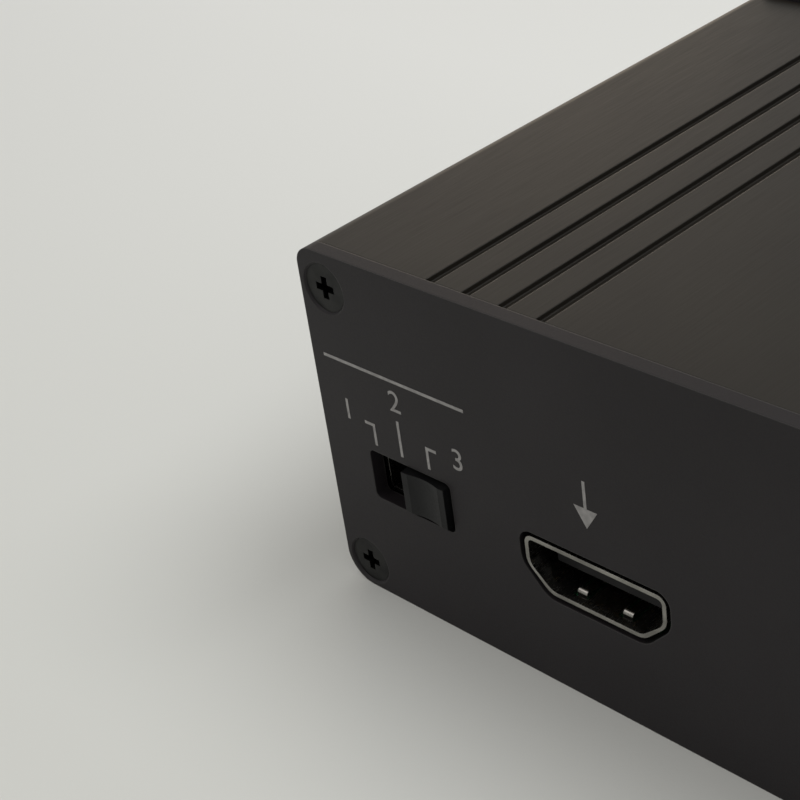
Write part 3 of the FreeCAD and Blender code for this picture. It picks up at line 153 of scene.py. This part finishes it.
finishes = {
    # black dye in the oxide layer of bead-blasted aluminium: a matte skin that shines a little at a
    # low angle and is greyer along the edges, partly from a thinner, worn skin and partly as a
    # painted highlight of light catching them
    "black_plate": finish("black anodised plate, bead-blasted", "#1b181a", "#1f1c1e",
                          rough=(0.42, 0.54), patch_mm=14.0, fine_mm=0.12, depth_mm=0.006,
                          specular=0.22, edge_mm=0.2, worn_and_highlit="#3c3b3a"),
    # the same skin on an extrusion, with faint draw lines along its length
    "black_extrusion": finish("black anodised extrusion, faint draw lines", "#1c1915", "#201d18",
                              rough=(0.38, 0.48), patch_mm=18.0, fine_mm=0.16, depth_mm=0.006,
                              stretch=(1, 30, 1), specular=0.22, edge_mm=0.2, worn_and_highlit="#2f2d29"),
    # oxide-blackened steel screws with a slight oily gloss
    "black_screw": finish("oxide-blackened screw steel", "#141414", "#232322",
                          rough=(0.28, 0.42), patch_mm=1.2, fine_mm=0.1, depth_mm=0.004,
                          metallic=0.85),
    # folded steel sheet under tin plate: grey, so smooth that a port's inside mirrors its own depth
    "plated_steel": finish("tin-plated steel sheet", "#7f7d78", "#9d9b95",
                           rough=(0.2, 0.3), patch_mm=2.5, fine_mm=0.12, depth_mm=0.002,
                           metallic=1.0, stretch=(1, 6, 1)),
    # turned sleeves, nickel over brass: fine turning marks spread the highlights round them
    "satin_nickel": finish("satin nickel on turned brass", "#c2bdb2", "#d8d4ca",
                           rough=(0.34, 0.46), patch_mm=2.0, fine_mm=0.15, depth_mm=0.003,
                           metallic=1.0, stretch=(6, 1, 6)),
    # contact strips with a thin gold flash
    "gold_flash": finish("gold flash on copper alloy", "#c99a45", "#e0b866",
                         rough=(0.18, 0.3), patch_mm=1.0, fine_mm=0.1, depth_mm=0.001,
                         metallic=1.0),
    # tinned leads
    "tinned": finish("tinned copper lead", "#a9a9a8", "#c6c6c4",
                     rough=(0.25, 0.4), patch_mm=0.8, fine_mm=0.1, depth_mm=0.002, metallic=1.0),
    # black glass-filled moulding
    "black_moulding": finish("black glass-filled moulding", "#151516", "#1e1e1f",
                             rough=(0.45, 0.62), patch_mm=3.0, fine_mm=0.15, depth_mm=0.006),
    # smoother moulding of the knob and the ports' tongues, darker and less glossy than the other
    # mouldings: partly its own black, partly painted shade for parts sitting deep in openings
    "smooth_moulding": finish("smooth black moulding with painted shade", "#0e0e0f", "#151516",
                              rough=(0.34, 0.5), patch_mm=2.0, fine_mm=0.18, depth_mm=0.005,
                              specular=0.16),
    # coloured gloss mouldings of the socket inserts
    "white_moulding": finish("white gloss moulding", "#d6d4cc", "#e6e4dc",
                             rough=(0.22, 0.34), patch_mm=2.0, fine_mm=0.2, depth_mm=0.002,
                             coat=0.2),
    "red_moulding": finish("red gloss moulding", "#8f1512", "#b01f1a",
                           rough=(0.22, 0.34), patch_mm=2.0, fine_mm=0.2, depth_mm=0.002,
                           coat=0.2),
    # matte resin of chip packages
    "chip_resin": finish("matte moulded chip resin", "#1b1b1d", "#242427",
                         rough=(0.55, 0.7), patch_mm=1.5, fine_mm=0.1, depth_mm=0.006),
    # drawn aluminium cans
    "bare_aluminium": finish("drawn aluminium can", "#b4b6b8", "#cdced0",
                             rough=(0.2, 0.34), patch_mm=1.5, fine_mm=0.12, depth_mm=0.002,
                             metallic=1.0, stretch=(1, 1, 8)),
    # pressed ferrite
    "ferrite": finish("pressed ferrite", "#2c2d2f", "#3a3b3d",
                      rough=(0.6, 0.8), patch_mm=1.0, fine_mm=0.12, depth_mm=0.01),
    # fired ceramic bodies
    "tan_ceramic": finish("fired tan ceramic", "#8a6a45", "#a5835a",
                          rough=(0.4, 0.55), patch_mm=0.6, fine_mm=0.08, depth_mm=0.003),
    # the lamp's clear tinted resin
    "lamp_resin": finish("clear tinted lamp resin", "#aebccb", "#c9d5e0",
                         rough=(0.08, 0.16), patch_mm=1.0, fine_mm=0.2, depth_mm=0.001,
                         coat=0.5),
    # silk-screened ink, slightly uneven over the blasted surface
    "print_ink": finish("pale silk-screened ink", "#7c7a79", "#918f8d",
                        rough=(0.5, 0.65), patch_mm=0.7, fine_mm=0.08, depth_mm=0.002),
}

PATH_CELL_MM = 1.1
PATH_PHASE = 22.0  # how far the copper bands' wave runs over a cell


def board_lacquer():
    """Green lacquer over etched copper: paths show as slightly raised, lighter bands."""
    material, tree, shader, place = new_material("green board lacquer over copper paths")
    scale = [1 / (PATH_CELL_MM * MM)] * 3
    cells = add(tree, "Mapping", {"Vector": place, "Scale": scale}).outputs[0]
    paths = add(tree, "TexVoronoi", {"Vector": cells, "Scale": 1.0}, distance="CHEBYCHEV",
                feature="F1", voronoi_dimensions="2D").outputs["Distance"]
    lines = add(tree, "Math", {0: paths, 1: PATH_PHASE}, operation="MULTIPLY").outputs[0]
    stripes = add(tree, "Math", {0: lines}, operation="SINE").outputs[0]
    band = levels(tree, stripes, 0.0, 1.0, start=-0.2, end=0.2)
    shade = blend(tree, band, colour("#0d3d22"), colour("#16603a"))
    tree.links.new(shade, shader.inputs["Base Color"])
    gloss = levels(tree, grain(tree, place, size_mm=6.0), 0.22, 0.38)
    tree.links.new(gloss, shader.inputs["Roughness"])
    bump(tree, shader, band, depth_mm=0.02)
    return material


finishes["board_lacquer"] = board_lacquer()

NODE_FINISH = {
    "housing": "black_extrusion",
    "front_panel": "black_plate",
    "rear_panel": "black_plate",
    "front_panel_screws": "black_screw",
    "rear_panel_screws": "black_screw",
    "main_board": "board_lacquer",
    "path_switch_frame": "plated_steel",
    "path_switch_base": "black_moulding",
    "path_switch_terminals": "tinned",
    "path_switch_knob": "smooth_moulding",
    "path_switch_wipers": "gold_flash",
    "input_port_shell": "plated_steel",
    "input_port_tongue": "smooth_moulding",
    "input_port_contacts": "gold_flash",
    "output_port_shell": "plated_steel",
    "output_port_tongue": "smooth_moulding",
    "output_port_contacts": "gold_flash",
    "optical_port_housing": "black_moulding",
    "optical_port_hinge_pin": "plated_steel",
    "optical_port_shutter": "black_moulding",
    "optical_port_shutter_spring": "plated_steel",
    "optical_port_emitter": "chip_resin",
    "optical_port_leads": "tinned",
    "audio_socket_block": "black_moulding",
    "audio_socket_sleeves": "satin_nickel",
    "left_audio_insert": "white_moulding",
    "right_audio_insert": "red_moulding",
    "audio_socket_centre_contacts": "satin_nickel",
    "audio_socket_ground_tails": "tinned",
    "power_inlet_body": "black_moulding",
    "power_inlet_pin": "satin_nickel",
    "power_inlet_spring_contact": "tinned",
    "power_lamp_lens": "lamp_resin",
    "power_lamp_leads": "tinned",
    "video_processor": "chip_resin",
    "video_processor_pins": "tinned",
    "audio_processor": "chip_resin",
    "audio_processor_pins": "tinned",
    "memory_chips": "chip_resin",
    "memory_chip_pins": "tinned",
    "audio_converter": "chip_resin",
    "audio_converter_pins": "tinned",
    "power_inductor": "ferrite",
    "regulators": "chip_resin",
    "regulator_tabs": "tinned",
    "capacitor_bases": "black_moulding",
    "electrolytic_capacitors": "bare_aluminium",
    "input_diode": "chip_resin",
    "input_fuse": "tan_ceramic",
    "clock_crystals": "plated_steel",
    "ceramic_capacitors": "tan_ceramic",
    "resistors": "chip_resin",
    "programming_header_base": "black_moulding",
    "programming_header_pins": "gold_flash",
}

for name, node in nodes.items():
    node.data.materials.clear()
    node.data.materials.append(finishes[NODE_FINISH[name]])


# Printed marks on the front panel, placed in mm from its left edge and its underside

FACE_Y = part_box("front_panel")[0].y
LEFT_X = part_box("front_panel")[0].x
INK = 0.02 * MM
STROKE = 0.32  # width of a printed line
HEAD_SPREAD = 0.62  # half the width of an arrow's head over its length
FIGURE_HEIGHT = 2.2
FIGURE_SHARE = 0.7  # a figure's height over its font size
MIDDLE_X = 10.1  # the switch's middle position
MARK_FOOT = 17.6  # lower end of the switch's three marks
MARK_BEND = 19.8  # height at which the two side marks bend outwards


def printed(name, mesh_maker):
    """An object of flat ink on the front panel."""
    mesh = bpy.data.meshes.new(name)
    shape = bmesh.new()
    mesh_maker(shape)
    bmesh.ops.recalc_face_normals(shape, faces=shape.faces)
    shape.to_mesh(mesh)
    shape.free()
    mesh.materials.append(finishes["print_ink"])
    made = bpy.data.objects.new(name, mesh)
    bpy.context.scene.collection.objects.link(made)
    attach(made, "case")


def spot(x, z):
    """The middle of the ink's thickness at a place on the panel."""
    return Vector((LEFT_X + x * MM, FACE_Y - INK / 2, z * MM))


def across(low_x, high_x, z):
    """The extents of a level bar of ink: its low and high X and its low and high Z."""
    return low_x, high_x, z - STROKE / 2, z + STROKE / 2


def upright(x, low_z, high_z):
    """The extents of an upright bar of ink: its low and high X and its low and high Z."""
    return x - STROKE / 2, x + STROKE / 2, low_z, high_z


def strokes(*bars):
    """Straight bars of ink, each given by its extents."""
    def make(shape):
        for low_x, high_x, low_z, high_z in bars:
            verts = bmesh.ops.create_cube(shape, size=1)["verts"]
            size = Vector(((high_x - low_x) * MM, INK, (high_z - low_z) * MM))
            middle = spot((low_x + high_x) / 2, (low_z + high_z) / 2)
            bmesh.ops.scale(shape, vec=size, verts=verts)
            bmesh.ops.translate(shape, vec=middle, verts=verts)
    return make


def arrow(x, low, high, head):
    """An arrow that points down: a bar that ends on a filled head."""
    def make(shape):
        strokes(upright(x, low + head, high))(shape)
        spread = head * HEAD_SPREAD
        corners = [(x, low), (x + spread, low + head), (x - spread, low + head)]
        outwards = Vector((0, -INK / 2, 0))
        face = shape.faces.new([shape.verts.new(spot(*corner) + outwards) for corner in corners])
        grown = bmesh.ops.extrude_face_region(shape, geom=[face])["geom"]
        raised = [part for part in grown if isinstance(part, bmesh.types.BMVert)]
        bmesh.ops.translate(shape, vec=(0, INK, 0), verts=raised)
    return make


def numeral(text, x, z):
    """A figure centred at a place on the panel, its ink as thick as the lines'."""
    curve = bpy.data.curves.new("figure", "FONT")
    curve.body = text
    curve.size = FIGURE_HEIGHT * MM / FIGURE_SHARE
    curve.align_x = "CENTER"
    curve.align_y = "CENTER"
    curve.extrude = INK / 2
    curve.resolution_u = 6
    holder = bpy.data.objects.new("figure", curve)
    bpy.context.scene.collection.objects.link(holder)
    bpy.context.view_layer.update()
    flat = bpy.data.meshes.new_from_object(holder)
    bpy.data.objects.remove(holder)
    standing = Matrix.Translation(spot(x, z)) @ Matrix.Rotation(math.radians(90), 4, "X")

    def make(shape):
        shape.from_mesh(flat)
        bmesh.ops.transform(shape, matrix=standing, verts=shape.verts)
    return make


bend_foot = MARK_BEND - STROKE / 2
printed("underline", strokes(across(1.5, 18.7, 25.55)))
printed("mark_middle", strokes(upright(MIDDLE_X, MARK_FOOT, 21.4)))
printed("mark_left", strokes(across(5.7, 7.0, MARK_BEND), upright(6.84, MARK_FOOT, bend_foot)))
printed("mark_right", strokes(across(13.3, 14.6, MARK_BEND), upright(13.46, MARK_FOOT, bend_foot)))
printed("figure_one", numeral("1", 3.6, 20.3))
printed("figure_two", numeral("2", MIDDLE_X, 23.3))
printed("figure_three", numeral("3", 17.2, 19.9))
printed("port_arrow", arrow(31.5, low=18.9, high=23.6, head=2.0))


# Floor, light and camera

FLOOR_REACH = 2.5  # half the floor's side in metres
FLOOR_DROP = 0.05 * MM  # keeps the floor clear of the underside, which is flat
PAINTED_FLOOR_FALLOFF = 70 * MM  # distance from the middle at which the floor's painted light falloff stops changing
CAMERA_PLACE = (66.294, -118.928, 105.02)  # mm
CAMERA_AIM = (-33.077, -34.25, 23.934)  # mm
CAMERA_ROLL = -8.658  # degrees
CAMERA_LENS = 79.86  # mm
CAMERA_SENSOR = 36  # mm


def paper():
    """Pale matte board under the box, painted a little paler behind the box than before it as a
    painted falloff of the lamps' light.
    """
    material, tree, shader, place = new_material("pale matte backdrop board")
    back = add(tree, "SeparateXYZ", {"Vector": place}).outputs["Y"]
    # painted light: the board is paler behind the box, standing in for the lamps' light falling off
    # towards the camera
    painted_falloff = levels(tree, back, 0.0, 1.0, start=-PAINTED_FLOOR_FALLOFF, end=PAINTED_FLOOR_FALLOFF)
    shade = blend(tree, painted_falloff, colour("#d1d2cd"), colour("#e1e2df"))
    tree.links.new(shade, shader.inputs["Base Color"])
    shader.inputs["Roughness"].default_value = 0.7
    bump(tree, shader, grain(tree, place, size_mm=0.4), depth_mm=0.008)
    return material


def floor():
    """One flat sheet of board, wide enough to fill every view."""
    mesh = bpy.data.meshes.new("floor")
    shape = bmesh.new()
    bmesh.ops.create_grid(shape, x_segments=1, y_segments=1, size=FLOOR_REACH)
    bmesh.ops.translate(shape, vec=(0, 0, -FLOOR_DROP), verts=shape.verts)
    shape.to_mesh(mesh)
    shape.free()
    mesh.materials.append(paper())
    made = bpy.data.objects.new("floor", mesh)
    bpy.context.scene.collection.objects.link(made)


def lamp(name, *, place, target, size, power, tint="#ffffff"):
    """A round soft lamp at a place in metres that faces its target."""
    data = bpy.data.lights.new(name, "AREA")
    data.shape = "DISK"
    data.size = size
    data.energy = power
    data.color = colour(tint)[:3]
    made = bpy.data.objects.new(name, data)
    made.location = place
    made.rotation_euler = (Vector(target) - Vector(place)).to_track_quat("-Z", "Y").to_euler()
    bpy.context.scene.collection.objects.link(made)


def world():
    """The even light of a pale room."""
    backdrop = bpy.data.worlds.new("pale room")
    backdrop.use_nodes = True
    tree = backdrop.node_tree
    tree.nodes.clear()
    sky = add(tree, "Background", {"Color": colour("#e6e6e4"), "Strength": 0.67})
    add(tree, "OutputWorld", {"Surface": sky.outputs[0]})
    bpy.context.scene.world = backdrop


def camera():
    """A close view from above the front right, turned a little about its own axis."""
    data = bpy.data.cameras.new("camera")
    data.lens = CAMERA_LENS
    data.sensor_width = CAMERA_SENSOR
    data.clip_start = 0.005
    data.clip_end = 20
    made = bpy.data.objects.new("camera", data)
    place = Vector(CAMERA_PLACE) * MM
    target = Vector(CAMERA_AIM) * MM
    facing = (target - place).to_track_quat("-Z", "Y").to_matrix().to_4x4()
    turned = facing @ Matrix.Rotation(math.radians(CAMERA_ROLL), 4, "Z")
    made.matrix_world = Matrix.Translation(place) @ turned
    bpy.context.scene.collection.objects.link(made)
    bpy.context.scene.camera = made


floor()
world()
lamp("window", place=(0.29, 0.2, 0.68), target=(0, 0, 0), size=0.5, power=2.68)
lamp("far wall", place=(-0.93, 0.9, 0.2), target=(0, 0, 0.03), size=0.5, power=1.0, tint="#ffe6c8")
lamp("room fill", place=(-0.4, -0.7, 0.9), target=(0, 0, 0), size=0.8, power=1.9, tint="#fff8f8")
camera()
bpy.context.scene.view_settings.view_transform = "Standard"
